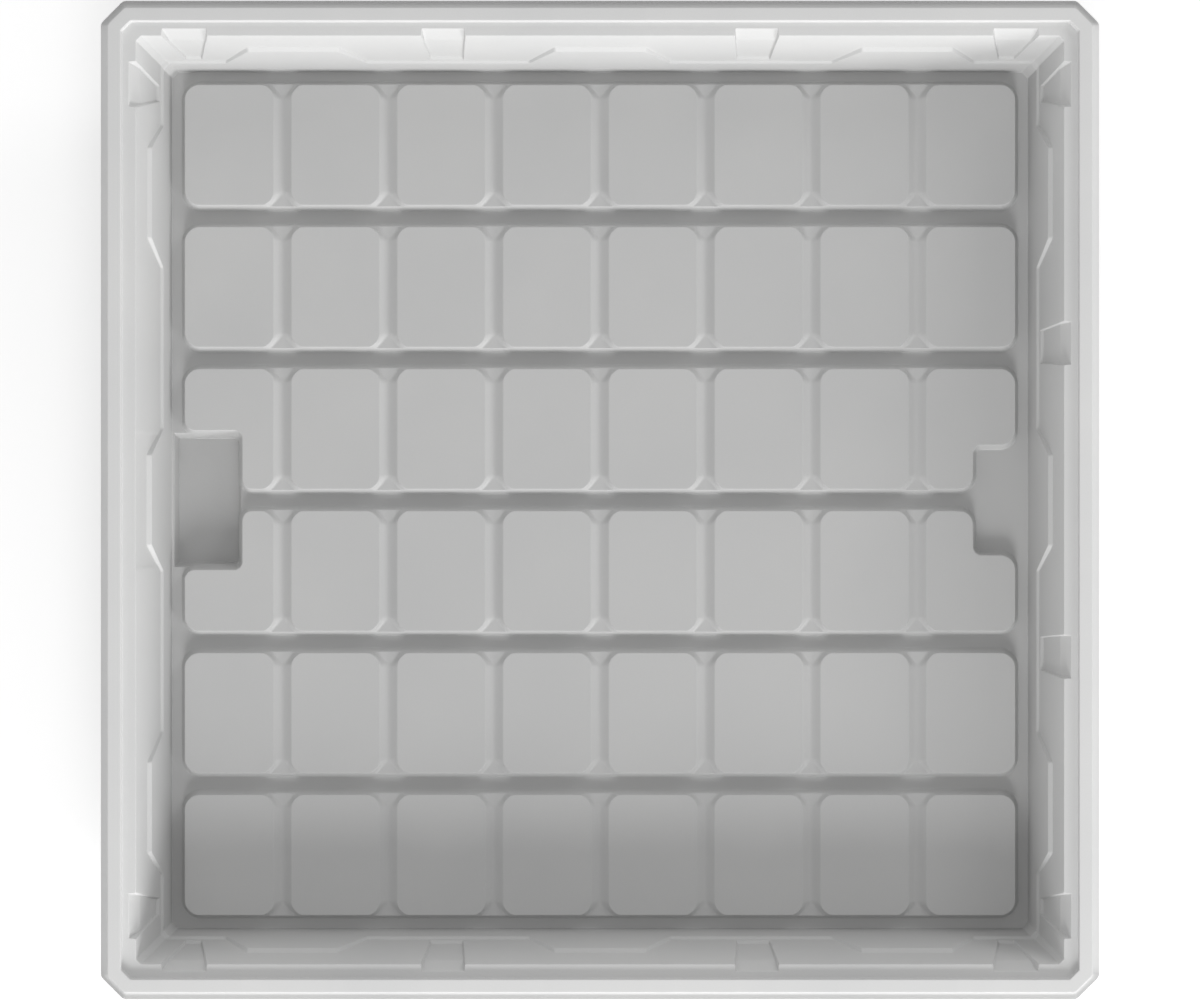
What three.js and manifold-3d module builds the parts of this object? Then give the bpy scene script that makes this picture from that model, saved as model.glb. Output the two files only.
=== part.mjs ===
// Square thermoformed flood tray with raised plant pads, a drain sump and a fill well.
//
// The real tray is one sheet of plastic. This model draws that sheet once, as a cavity grown by
// the sheet thickness minus the cavity itself, and then cuts it along its own form lines into
// named regions with a hairline between them, so that each region is a simple solid.
//
// Units are millimetres, +Z is up and +X points from the drain sump towards the fill well. The
// origin is under the centre of the tray, level with the underside of the drain sump.

import * as THREE from 'three';
import { ConvexGeometry } from 'three/addons/geometries/ConvexGeometry.js';
import { mergeVertices } from 'three/addons/utils/BufferGeometryUtils.js';
import Module from 'manifold-3d';

const wasm = await Module();
wasm.setup();

// ---- Driving dimensions -------------------------------------------------------------------

const SHEET = 4;             // thickness of the moulded sheet
const GAP = 0.3;             // hairline between neighbouring regions

// Heights of the upper surface
const RIM_Z = 178;
const LEDGE_Z = 168;
const SKIRT_FOOT_Z = 153;
const PAD_Z = 48;
const GROOVE_Z = 41.5;
const FLOOR_Z = 30;
const SUMP_Z = SHEET;

// Half widths of the square outlines, with the leg of the 45 degree cut at their corners
const SKIRT_FOOT = { half: 658.3, cut: 29.7 };
const RIM_EDGE = { half: 645.3, cut: 22.3 };
const RISER = { half: 628, cut: 12.5 };
const WALL_TOP = { half: 609.5, cut: 6.6 };
const WALL_FOOT = { half: 582.6, cut: 8.2 };

// Slopes of the walls: how far a face leans outwards for each millimetre of height
const UPPER_LEAN = 0.1826;
const LOWER_LEAN = 0.151;
const PAD_LEAN = Math.tan(THREE.MathUtils.degToRad(16));
const GROOVE_LEAN = Math.tan(THREE.MathUtils.degToRad(55));
const SUMP_LEAN = 0.19;
const SUMP_BACK_LEAN = 0.11;

// The belt line: above it the wall stands one step further out
const BELT_LOW_Z = 71;
const BELT_HIGH_Z = 124.4;
const BELT_CENTRES = [-408.5, 0, 408.5];
const BELT_LOW_HALF = 95.4;
const BELT_HIGH_HALF = 60.2;

// Pockets in the ledge and the upper wall
const POCKET_BACK = 618.9;
const POCKET_BEND_BACK = 608.3;
const POCKET_BEND_Z = 142;
const POCKET_FOOT_BACK = 596.6;
const POCKET_FOOT_Z = 79;
const MID_POCKET = { at: 206.1, topHalf: 28.5, footHalf: 22 };
const CORNER_POCKET = { at: 546.3, topHalf: 29.7, footHalf: 10.8 };

// Pad field: rows of pads with shallow grooves between columns and channels between rows
const COLUMNS = 8;
const ROWS = 6;
const COLUMN_PITCH = 143.4;
const ROW_PITCH = 192.4;
const GROOVE_WIDTH = 24;
const CHANNEL_WIDTH = 31.2;
const PAD_RADIUS = 19;
const TOP_STEPS = 2;         // straight steps in a rounded corner of the upper surface
const UNDER_STEPS = 1;       // and of the underside

// Drain sump and fill well, measured at pad height where the pads are cut back round them
const SUMP_EDGE_X = -483.7;
const SUMP_BACK_X = -579.3;
const SUMP_HALF_Y = 95.5;
const SUMP_RADIUS = 12;
const SUMP_BACK_RADIUS = 3;
const SUMP_LIP = 1;          // floor left between the cut pads and the mouth of the sump
const WELL_EDGE_X = 504.7;
const WELL_HALF_Y = 75.7;
const CUT_RADIUS = 13;       // inner corners of the cut pads
const SUMP_PAD_RADIUS = 12;  // outer corners of the pads beside the sump
const WELL_PAD_RADIUS = 18;

// Where the regions meet
const FOOT_MARGIN = 1;       // flat floor that a wall keeps at its foot
const FOOT_FLAT = 0.5;       // flat floor that a bank keeps at its foot
const PAD_STRIP = 12;        // width of pad top that stays with the channel beside it
const CURB = 1;              // height of the wall that stays with the floor of a sunk part
const ABOVE = 0.2;           // an upper region starts this far above the underside of its plate
const BELOW = ABOVE - GAP;   // and the region under it ends here
const SUMP_WALL_END = 4;     // length of the sump's side walls that stays with its back wall

// Cutting
const OVERCUT = 2;           // how far a cutter runs past the face that it cuts
const BEYOND = 5;            // how far a region runs past the outside of the tray
const CLEAR = 1;             // how far a region runs past the sheet where nothing else is near
const EDGE_BEND = 1.5;       // how far a groove's end stops short of the edge of its row
const MERGE_WITHIN = 1e-4;   // vertices closer than this are one

// ---- Derived sizes ------------------------------------------------------------------------

const OUTSIDE = SKIRT_FOOT.half + BEYOND;
const FIELD_X = (COLUMNS * COLUMN_PITCH - GROOVE_WIDTH) / 2;
const FIELD_Y = (ROWS * ROW_PITCH - CHANNEL_WIDTH) / 2;
const ROW_HALF = (ROW_PITCH - CHANNEL_WIDTH) / 2;
const PAD_HALF = (COLUMN_PITCH - GROOVE_WIDTH) / 2;
const PAD_HEIGHT = PAD_Z - FLOOR_Z;
const RIM_UNDER_Z = RIM_Z - SHEET;
const LEDGE_UNDER_Z = LEDGE_Z - SHEET;
const FLOOR_UNDER_Z = FLOOR_Z - SHEET;
const BEND = SHEET + EDGE_BEND;
const SHELF_DROP = SHEET * (Math.SQRT2 - 1); // a 45 degree shelf, offset by the sheet thickness
const CUT_GROWTH = 2 - Math.SQRT2;           // growth of a 45 degree corner cut under an offset
const SIDES = [
  { name: 'right', out: [1, 0] },
  { name: 'back', out: [0, 1] },
  { name: 'left', out: [-1, 0] },
  { name: 'front', out: [0, -1] },
];

// ---- Solids from three.js geometry --------------------------------------------------------

function solid(geometry) {
  geometry.deleteAttribute('normal');
  geometry.deleteAttribute('uv');
  const merged = mergeVertices(geometry, MERGE_WITHIN);
  const vertProperties = Float32Array.from(merged.attributes.position.array);
  const triVerts = Uint32Array.from(merged.index.array);
  return new wasm.Manifold(new wasm.Mesh({ numProp: 3, vertProperties, triVerts }));
}

// The convex solid round a set of point lists.
function hull(...rings) {
  return solid(new ConvexGeometry(rings.flat()));
}

// A box given by its lowest and highest corners.
function box(x0, x1, y0, y1, z0, z1) {
  const geometry = new THREE.BoxGeometry(x1 - x0, y1 - y0, z1 - z0);
  geometry.translate((x0 + x1) / 2, (y0 + y1) / 2, (z0 + z1) / 2);
  return solid(geometry);
}

function join(solids) {
  return wasm.Manifold.union(solids);
}

// A square outline with cut corners at height z, moved outwards by grow.
function square(outline, z, grow = 0, lean = 0) {
  const half = outline.half + grow + lean;
  const inner = half - outline.cut - CUT_GROWTH * grow;
  const quarter = [[half, -inner], [half, inner]];
  return SIDES.flatMap((side) => quarter.map(([x, y]) => turned(x, y, z, side)));
}

// A point of the right-hand side, turned by quarter turns to another side.
function turned(x, y, z, { out: [cos, sin] }) {
  return new THREE.Vector3(x * cos - y * sin, x * sin + y * cos, z);
}

// A rectangle with a rounded corner in each quadrant, in the order right back, left back,
// left front, right front.
function roundedRect(x0, x1, y0, y1, radii, z, steps) {
  const corners = [[x1, y1, -1, -1], [x0, y1, 1, -1], [x0, y0, 1, 1], [x1, y0, -1, 1]];
  return corners.flatMap(([x, y, inX, inY], i) => {
    const radius = radii[i];
    const start = i * Math.PI / 2;
    const arc = new THREE.EllipseCurve(x + inX * radius, y + inY * radius, radius, radius,
      start, start + Math.PI / 2);
    return arc.getPoints(steps).map((p) => new THREE.Vector3(p.x, p.y, z));
  });
}

// A straight-sided block whose outline widens by lean for each millimetre below topZ.
function taperedBlock(x0, x1, y0, y1, radius, topZ, footZ, lean, steps) {
  const spread = lean * (topZ - footZ);
  const top = roundedRect(x0, x1, y0, y1, Array(4).fill(radius), topZ, steps);
  const foot = roundedRect(x0 - spread, x1 + spread, y0 - spread, y1 + spread,
    Array(4).fill(radius + spread), footZ, steps);
  return hull(top, foot);
}

// ---- The cavity, offset by grow -----------------------------------------------------------

const stepsFor = (grow) => (grow ? UNDER_STEPS : TOP_STEPS);

const upperWall = (z) => WALL_TOP.half - (LEDGE_Z - z) * UPPER_LEAN;
const lowerWall = (z) => WALL_FOOT.half + (z - FLOOR_Z) * LOWER_LEAN;

// Depth of the belt's 45 degree shelf, from the upper wall in to the lower one.
const BELT_STEP = (upperWall(BELT_LOW_Z) - lowerWall(BELT_LOW_Z)) / (1 - LOWER_LEAN);

// One trapezoid where the lower wall rises between the low and the high belt line. Its slanted
// sides run on down behind the wall.
function beltRise(centre, side, grow) {
  const reach = 3 * BELT_STEP;
  const drop = grow ? SHELF_DROP : 0;
  const splay = (BELT_LOW_HALF - BELT_HIGH_HALF) / (BELT_HIGH_Z - BELT_LOW_Z);
  const footZ = BELT_LOW_Z - 2 * reach;
  const footHalf = BELT_LOW_HALF + splay * (BELT_LOW_Z - footZ);
  const edge = (halfLength, z) => [-halfLength, halfLength].flatMap((u) => [-reach, reach].map((along) =>
    turned(upperWall(z) + grow + along, centre + u, z - drop + along, side)));
  return hull(edge(BELT_HIGH_HALF, BELT_HIGH_Z), edge(footHalf, footZ));
}

// One pocket: a notch in the ledge whose back runs down to a small sloping foot. The profile is
// the shape across the wall, and the taper narrows it from the ledge down to the foot.
function pocket(size, centre, side, grow) {
  const foot = POCKET_FOOT_Z - (grow ? SHELF_DROP : 0);
  const inner = upperWall(POCKET_FOOT_Z) - SHEET;
  const lean = (POCKET_BACK - POCKET_BEND_BACK) / (LEDGE_Z - POCKET_BEND_Z);
  const topZ = LEDGE_Z + OVERCUT;
  const profile = new THREE.Shape();
  profile.moveTo(inner, foot - (POCKET_FOOT_BACK + grow - inner));
  profile.lineTo(POCKET_FOOT_BACK + grow, foot);
  profile.lineTo(POCKET_BEND_BACK + grow, POCKET_BEND_Z);
  profile.lineTo(POCKET_BACK + grow + lean * OVERCUT, topZ);
  profile.lineTo(inner, topZ);
  const width = 4 * size.topHalf;
  const geometry = new THREE.ExtrudeGeometry(profile, { depth: width, bevelEnabled: false });
  geometry.translate(0, 0, -width / 2);
  const { out: [cos, sin] } = side;
  const along = new THREE.Vector3(-sin, cos, 0);
  const frame = new THREE.Matrix4().makeBasis(new THREE.Vector3(cos, sin, 0), new THREE.Vector3(0, 0, 1),
    along.clone().negate());
  frame.setPosition(along.multiplyScalar(centre));
  geometry.applyMatrix4(frame);

  const narrowing = (size.topHalf - size.footHalf) / (LEDGE_Z - POCKET_FOOT_Z);
  const across = (z) => [-1, 1].flatMap((s) => [inner - OVERCUT, POCKET_BACK + 2 * BEND].map((h) =>
    turned(h, centre + s * (size.footHalf + grow + narrowing * (z - POCKET_FOOT_Z)), z, side)));
  const taper = hull(across(POCKET_FOOT_Z - 4 * BEND), across(topZ + OVERCUT));
  return solid(geometry).intersect(taper);
}

function pockets(grow) {
  const solids = [];
  for (const side of SIDES) {
    for (const s of [-1, 1]) {
      solids.push(pocket(CORNER_POCKET, s * CORNER_POCKET.at, side, grow));
      if (side.name !== 'left') {
        solids.push(pocket(MID_POCKET, s * MID_POCKET.at, side, grow));
      }
    }
  }
  return join(solids);
}

// The basin between the walls, from the floor up to the rim.
function basin(grow) {
  const drop = grow ? SHELF_DROP : 0;
  const lower = hull(
    square(WALL_FOOT, FLOOR_Z - grow, grow, -LOWER_LEAN * grow),
    square(WALL_FOOT, LEDGE_Z, grow, lowerWall(LEDGE_Z) - WALL_FOOT.half),
  );
  const shelfZ = BELT_LOW_Z - drop;
  const upper = hull(
    square(WALL_TOP, shelfZ - 2 * BELT_STEP, grow, upperWall(shelfZ) - 2 * BELT_STEP - WALL_TOP.half),
    square(WALL_TOP, shelfZ, grow, upperWall(shelfZ) - WALL_TOP.half),
    square(WALL_TOP, LEDGE_Z + OVERCUT, grow, UPPER_LEAN * OVERCUT),
  );
  const rises = SIDES.flatMap((side) =>
    BELT_CENTRES.map((centre) => beltRise(centre, side, grow)));
  const recess = hull(square(RISER, LEDGE_Z - grow, grow), square(RISER, RIM_Z + OVERCUT, grow));
  return join([lower, upper.subtract(join(rises)), recess, pockets(grow)]);
}

// A cutter that takes the outer corner off a cut pad. The pad lies towards (inX, inY).
function cornerCut(x, y, inX, inY, radius, grow) {
  const footZ = FLOOR_Z - grow - OVERCUT;
  const topZ = PAD_Z + OVERCUT;
  const outline = (z) => {
    const spread = PAD_LEAN * (PAD_Z - grow - z);
    const leg = CUT_GROWTH * (radius - grow + spread) + OVERCUT;
    const cornerX = x + inX * (grow - spread - OVERCUT);
    const cornerY = y + inY * (grow - spread - OVERCUT);
    const reach = 2 * OVERCUT;
    return [
      new THREE.Vector3(cornerX + inX * (leg + reach), cornerY - inY * reach, z),
      new THREE.Vector3(cornerX - inX * reach, cornerY + inY * (leg + reach), z),
      new THREE.Vector3(cornerX - inX * reach, cornerY - inY * reach, z),
    ];
  };
  return hull(outline(footZ), outline(topZ));
}

// The clearance that cuts the pads back round the sump or the well.
function padCut(x0, x1, halfY, grow) {
  const footZ = FLOOR_Z - grow - OVERCUT;
  const topZ = PAD_Z + OVERCUT;
  const shrink = PAD_LEAN * (PAD_Z - grow - footZ);
  const flare = PAD_LEAN * (topZ - PAD_Z + grow);
  const outline = (spread, z) => roundedRect(x0 - spread, x1 + spread, -halfY - spread, halfY + spread,
    Array(4).fill(CUT_RADIUS), z, stepsFor(grow));
  return hull(outline(grow + flare, topZ), outline(grow - shrink, footZ));
}

// One row of pads: a low block with the grooves cut across its top.
function padRow(centreY, grow) {
  const topZ = PAD_Z - grow;
  const footZ = FLOOR_Z - grow - OVERCUT;
  const block = taperedBlock(-FIELD_X + grow, FIELD_X - grow, centreY - ROW_HALF + grow,
    centreY + ROW_HALF - grow, PAD_RADIUS - grow, topZ, footZ, PAD_LEAN, stepsFor(grow));
  const pads = [];
  for (let column = 0; column < COLUMNS; column += 1) {
    const centreX = (column - (COLUMNS - 1) / 2) * COLUMN_PITCH;
    const half = PAD_HALF - grow - GROOVE_LEAN * OVERCUT;
    const endLeft = column === 0 ? 4 * PAD_RADIUS : 0;
    const endRight = column === COLUMNS - 1 ? 4 * PAD_RADIUS : 0;
    const halfY = ROW_HALF - grow - GROOVE_LEAN * OVERCUT + EDGE_BEND;
    pads.push(taperedBlock(centreX - half - endLeft, centreX + half + endRight, centreY - halfY,
      centreY + halfY, PAD_RADIUS - grow, topZ + OVERCUT, GROOVE_Z - grow - OVERCUT, GROOVE_LEAN,
      stepsFor(grow)));
  }
  const reachX = FIELD_X + PAD_HEIGHT;
  const reachY = ROW_HALF + PAD_HEIGHT;
  const slab = box(-reachX, reachX, centreY - reachY, centreY + reachY, GROOVE_Z - grow, PAD_Z + CLEAR);
  return block.subtract(slab.subtract(join(pads)));
}

function padField(grow) {
  const rows = [];
  for (let row = 0; row < ROWS; row += 1) {
    rows.push(padRow((row - (ROWS - 1) / 2) * ROW_PITCH, grow));
  }
  const cuts = [
    padCut(-FIELD_X - 4 * CUT_RADIUS, SUMP_EDGE_X, SUMP_HALF_Y, grow),
    padCut(WELL_EDGE_X, FIELD_X + 4 * CUT_RADIUS, WELL_HALF_Y, grow),
  ];
  for (const s of [-1, 1]) {
    cuts.push(cornerCut(-FIELD_X, s * SUMP_HALF_Y, 1, s, SUMP_PAD_RADIUS, grow));
    cuts.push(cornerCut(SUMP_EDGE_X, s * CHANNEL_WIDTH / 2, 1, s, SUMP_PAD_RADIUS, grow));
    cuts.push(cornerCut(FIELD_X, s * WELL_HALF_Y, -1, s, WELL_PAD_RADIUS, grow));
    cuts.push(cornerCut(WELL_EDGE_X, s * CHANNEL_WIDTH / 2, -1, s, WELL_PAD_RADIUS, grow));
  }
  return join(rows).subtract(join(cuts));
}

function sump(grow) {
  const outline = (z) => {
    const lean = PAD_LEAN * PAD_HEIGHT + SUMP_LIP + SUMP_LEAN * (FLOOR_Z - z);
    const backLean = SUMP_BACK_LEAN * (FLOOR_Z - z);
    return roundedRect(SUMP_BACK_X + backLean - grow, SUMP_EDGE_X - lean + grow,
      -SUMP_HALF_Y + lean - grow, SUMP_HALF_Y - lean + grow,
      [SUMP_RADIUS, SUMP_BACK_RADIUS, SUMP_BACK_RADIUS, SUMP_RADIUS], z, stepsFor(grow));
  };
  return hull(outline(SUMP_Z - grow), outline(FLOOR_Z + (grow ? -EDGE_BEND : CLEAR)));
}

function cavity(grow) {
  return basin(grow).subtract(padField(grow)).add(sump(grow));
}

// ---- The sheet ----------------------------------------------------------------------------

function tray() {
  const outside = cavity(SHEET);
  const top = box(-OUTSIDE, OUTSIDE, -OUTSIDE, OUTSIDE, RIM_Z, RIM_Z + BEND);
  const rim = hull(square(SKIRT_FOOT, SKIRT_FOOT_Z), square(RIM_EDGE, RIM_Z));
  const lean = (SKIRT_FOOT.half - RIM_EDGE.half) / (RIM_Z - SKIRT_FOOT_Z);
  const under = hull(
    square(SKIRT_FOOT, SKIRT_FOOT_Z - OVERCUT, -SHEET, lean * OVERCUT),
    square(RIM_EDGE, RIM_UNDER_Z, -SHEET, lean * SHEET),
  );
  return rim.subtract(under).add(outside.subtract(top)).subtract(cavity(0));
}

// ---- The regions --------------------------------------------------------------------------

const sheet = tray();
const half = GAP / 2;
const MITRE = half * Math.SQRT2;   // half a hairline, measured along a side that ends at 45 degrees
const group = new THREE.Group();

function addRegion(name, region) {
  const { vertProperties, triVerts } = sheet.intersect(region).getMesh();
  const geometry = new THREE.BufferGeometry();
  geometry.setAttribute('position', new THREE.BufferAttribute(vertProperties, 3));
  geometry.setIndex(new THREE.BufferAttribute(triVerts, 1));
  geometry.computeVertexNormals();
  const material = new THREE.MeshStandardMaterial({ color: 0xd9d9d8, roughness: 0.42, metalness: 0 });
  const mesh = new THREE.Mesh(geometry, material);
  mesh.name = name;
  group.add(mesh);
}

// The part of one side between two distances from the centre, mitred at the tray's corners.
function sideRegion(inner, outer, z0, z1, side) {
  const ring = (z) => [inner, outer].flatMap((x) => [-1, 1].map((s) =>
    turned(x, s * (x - MITRE), z, side)));
  return hull(ring(z0), ring(z1));
}

const FIELD_SPLIT_X = FIELD_X - PAD_STRIP;
const FIELD_SPLIT_Y = FIELD_Y - PAD_STRIP;
const WALL_SPLIT = WALL_FOOT.half - FOOT_MARGIN;
const RISER_SPLIT = RISER.half;
const FIELD_TOP_Z = PAD_Z + CLEAR;
const FIELD_UNDER_Z = FLOOR_UNDER_Z - CLEAR;

function rimRegion(side) {
  const inner = RISER_SPLIT + half;
  const flat = sideRegion(inner, OUTSIDE, RIM_UNDER_Z + ABOVE, RIM_Z + CLEAR, side);
  const riser = sideRegion(inner, RISER_SPLIT + BEND, LEDGE_UNDER_Z - CLEAR, RIM_Z, side);
  return flat.add(riser);
}

// The floor inside the foot of the walls, with the tray's cut corners.
function footPrism(grow) {
  const inward = grow - FOOT_MARGIN;
  return hull(square(WALL_FOOT, -CLEAR, inward), square(WALL_FOOT, FIELD_TOP_Z, inward));
}

// A side wall, with the cut corner at each end down to its foot.
function wallRegion(side) {
  const inner = WALL_FOOT.half - WALL_FOOT.cut;
  const all = sideRegion(inner, RISER_SPLIT, FLOOR_UNDER_Z + half, LEDGE_UNDER_Z + BELOW, side);
  return all.subtract(footPrism(half));
}

for (const side of SIDES) {
  const { name } = side;
  addRegion(`rim_${name}`, rimRegion(side));
  addRegion(`skirt_${name}`, sideRegion(RISER_SPLIT + BEND + CLEAR, OUTSIDE, SKIRT_FOOT_Z - CLEAR,
    RIM_UNDER_Z + BELOW, side));
  addRegion(`ledge_${name}`, sideRegion(WALL_TOP.half - 2 * BEND, RISER_SPLIT - half, LEDGE_UNDER_Z + ABOVE,
    LEDGE_Z + CLEAR, side));
  addRegion(`wall_${name}`, wallRegion(side));
}

// Floor regions: edge channels round the field, cross channels and pad decks inside it.
const FOOT_SPREAD = PAD_LEAN * PAD_HEIGHT;
const EDGE_SPLIT = FIELD_X + FOOT_SPREAD + FOOT_FLAT;
const CURB_Z = FLOOR_Z + CURB;
const SUMP_CURB_Z = SUMP_Z + CURB;
const SUMP_CLEAR_Y = SUMP_HALF_Y + PAD_STRIP;
const SUMP_CLEAR_X = SUMP_EDGE_X + PAD_STRIP;
const WELL_CLEAR_Y = WELL_HALF_Y + PAD_STRIP;
const WELL_CLEAR_X = WELL_EDGE_X - PAD_STRIP;

// The floor of one side, from a distance from the centre out to the foot of the wall.
function edgeRegion(side, inner = FIELD_SPLIT_X) {
  const all = sideRegion(inner + half, WALL_FOOT.half, FIELD_UNDER_Z, FIELD_TOP_Z, side);
  return all.intersect(footPrism(-half));
}

addRegion('edge_channel_right', edgeRegion(SIDES[0]));
for (const side of [SIDES[1], SIDES[3]]) {
  addRegion(`edge_channel_${side.name}`, edgeRegion(side, EDGE_SPLIT));
  addRegion(`edge_bank_${side.name}`, sideRegion(FIELD_SPLIT_X + half, EDGE_SPLIT - half, FIELD_UNDER_Z,
    FIELD_TOP_Z, side));
}
for (const [name, s] of [['left_back', 1], ['left_front', -1]]) {
  const ys = [s * (SUMP_CLEAR_Y + half), s * OUTSIDE].sort((a, b) => a - b);
  addRegion(`edge_channel_${name}`, edgeRegion(SIDES[2]).intersect(
    box(-OUTSIDE, 0, ...ys, FIELD_UNDER_Z, FIELD_TOP_Z)));
}

const sumpWindow = box(-OUTSIDE, SUMP_CLEAR_X + half, -SUMP_CLEAR_Y - half, SUMP_CLEAR_Y + half,
  -CLEAR, FIELD_TOP_Z + CLEAR);
const wellWindow = box(WELL_CLEAR_X - half, OUTSIDE, -WELL_CLEAR_Y - half, WELL_CLEAR_Y + half,
  -CLEAR, FIELD_TOP_Z + CLEAR);

function fieldRegion(y0, y1) {
  const region = box(-FIELD_SPLIT_X + half, FIELD_SPLIT_X - half, y0, y1, FIELD_UNDER_Z, FIELD_TOP_Z);
  return region.subtract(sumpWindow).subtract(wellWindow);
}

const channelReach = CHANNEL_WIDTH / 2 + PAD_STRIP;
const channelSplit = CHANNEL_WIDTH / 2 - FOOT_SPREAD - FOOT_FLAT;
for (let i = 1; i < ROWS; i += 1) {
  const centre = (i - ROWS / 2) * ROW_PITCH;
  addRegion(`cross_channel_${i}`, fieldRegion(centre - channelSplit + half, centre + channelSplit - half));
  addRegion(`bank_${i}_front`, fieldRegion(centre - channelReach + half, centre - channelSplit - half));
  addRegion(`bank_${i}_back`, fieldRegion(centre + channelSplit + half, centre + channelReach - half));
}
for (let i = 0; i < ROWS; i += 1) {
  const low = Math.max((i - ROWS / 2) * ROW_PITCH + channelReach, -FIELD_SPLIT_Y) + half;
  const high = Math.min((i + 1 - ROWS / 2) * ROW_PITCH - channelReach, FIELD_SPLIT_Y) - half;
  addRegion(`pad_deck_${i + 1}`, fieldRegion(low, high));
}

// The two banks of pad edges round a sunk part, one on each side of the middle channel.
function addBanks(name, x0, x1, clearY) {
  addRegion(`${name}_front`, box(x0, x1, -clearY + half, 0, CURB_Z + half, FIELD_TOP_Z));
  addRegion(`${name}_back`, box(x0, x1, 0, clearY - half, CURB_Z + half, FIELD_TOP_Z));
}

// The sump: its floor, a wall on each side with the floor of the tray beside it, and the banks.
const SUMP_X0 = -WALL_SPLIT + half;
const SUMP_X1 = SUMP_CLEAR_X - half;
const SUMP_Y = SUMP_CLEAR_Y - half;
const SUMP_WALL_X = SUMP_BACK_X + SUMP_WALL_END;

// The part of the sump that reaches out under the tray's left wall, between two heights.
function underWall(z0, z1) {
  return box(-WALL_SPLIT - 2 * SHEET, -WALL_SPLIT + FOOT_MARGIN, -SUMP_Y, SUMP_Y, z0, z1);
}

// A region of the sump's walls, given by its outline seen from above.
function sumpPrism(points) {
  const ring = (z) => points.map(([x, y]) => new THREE.Vector3(x, y, z));
  return hull(ring(SUMP_CURB_Z + half), ring(CURB_Z - half));
}

const sumpFloor = box(SUMP_X0, SUMP_X1, -SUMP_Y, SUMP_Y, -CLEAR, SUMP_CURB_Z - half);
addRegion('drain_sump', sumpFloor.add(underWall(-CLEAR, SUMP_CURB_Z - half)));
const backWall = box(SUMP_X0, SUMP_WALL_X - half, -SUMP_Y, SUMP_Y, SUMP_CURB_Z + half, CURB_Z - half);
addRegion('sump_wall_left', backWall.add(underWall(SUMP_CURB_Z + half, FLOOR_UNDER_Z - half)));

// The other walls meet on 45 degree lines through the corners of their outline.
const SUMP_MEET_X = SUMP_WALL_X + half;
const SUMP_MEET_Y = SUMP_Y - (SUMP_X1 - SUMP_MEET_X);
addRegion('sump_wall_right', sumpPrism([-1, 1].flatMap((s) => [
  [SUMP_X1, s * (SUMP_Y - MITRE)],
  [SUMP_MEET_X, s * (SUMP_MEET_Y - MITRE)],
])));
for (const [name, s] of [['front', -1], ['back', 1]]) {
  addRegion(`sump_wall_${name}`, sumpPrism([
    [SUMP_X1 - MITRE, s * SUMP_Y],
    [SUMP_MEET_X, s * SUMP_Y],
    [SUMP_MEET_X, s * (SUMP_MEET_Y + MITRE)],
  ]));
}
addBanks('sump_bank', SUMP_X0, SUMP_X1, SUMP_CLEAR_Y);

// The well: its floor and its banks.
const WELL_X0 = WELL_CLEAR_X + half;
const WELL_X1 = FIELD_SPLIT_X - half;
const WELL_Y = WELL_CLEAR_Y - half;
addRegion('fill_well', box(WELL_X0, WELL_X1, -WELL_Y, WELL_Y, -CLEAR, CURB_Z - half));
addBanks('well_bank', WELL_X0, WELL_X1, WELL_CLEAR_Y);

export default group;
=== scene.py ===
"""Looks for the square flood tray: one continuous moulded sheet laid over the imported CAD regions.

The sheet is built here as a single closed mesh. Its middle, the floor, is a height field with soft
edges. Its border, from the foot of the walls up to the rim and back down the outside, is one
rounded cross-section carried round the tray. The two are joined in the flat of the edge channel.
Lengths are in millimetres until the mesh is made, and the frame's metres after that.
"""

import math

import bpy
import numpy as np
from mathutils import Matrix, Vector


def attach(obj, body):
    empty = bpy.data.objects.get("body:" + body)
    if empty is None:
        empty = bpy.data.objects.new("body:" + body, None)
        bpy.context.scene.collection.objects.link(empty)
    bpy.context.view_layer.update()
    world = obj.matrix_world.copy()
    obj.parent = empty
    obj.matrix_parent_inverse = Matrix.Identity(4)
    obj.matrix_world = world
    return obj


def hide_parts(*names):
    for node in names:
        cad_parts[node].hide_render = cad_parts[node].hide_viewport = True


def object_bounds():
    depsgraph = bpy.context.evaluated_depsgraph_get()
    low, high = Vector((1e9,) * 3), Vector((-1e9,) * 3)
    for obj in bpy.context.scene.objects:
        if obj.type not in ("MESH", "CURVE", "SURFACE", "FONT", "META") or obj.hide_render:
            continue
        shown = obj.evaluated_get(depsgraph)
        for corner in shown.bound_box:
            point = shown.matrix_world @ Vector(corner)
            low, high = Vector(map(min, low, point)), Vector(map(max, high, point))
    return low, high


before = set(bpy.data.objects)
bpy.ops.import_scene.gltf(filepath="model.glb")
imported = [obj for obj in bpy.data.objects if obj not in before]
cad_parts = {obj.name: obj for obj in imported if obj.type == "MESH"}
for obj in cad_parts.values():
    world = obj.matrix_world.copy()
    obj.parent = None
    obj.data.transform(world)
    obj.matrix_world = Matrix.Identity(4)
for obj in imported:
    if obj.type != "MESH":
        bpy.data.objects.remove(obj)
cad_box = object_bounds()

MM = 0.001
SHEET = 4.0

# Heights of the upper surface
RIM_Z = 178.0
LEDGE_Z = 168.0
SKIRT_FOOT_Z = 153.0
PAD_Z = 48.0
GROOVE_Z = 41.5
FLOOR_Z = 30.0
SUMP_Z = SHEET

# Half widths of the outlines, and the leg of the 45 degree cut at their corners
SKIRT_FOOT, SKIRT_FOOT_CUT = 658.3, 29.7
RIM_EDGE, RIM_EDGE_CUT = 645.3, 22.3
RISER, RISER_CUT = 628.0, 12.5
WALL_TOP, WALL_TOP_CUT = 609.5, 6.6
WALL_FOOT, WALL_FOOT_CUT = 582.6, 8.2
CUT_GROWTH = 2 - math.sqrt(2)

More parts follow.
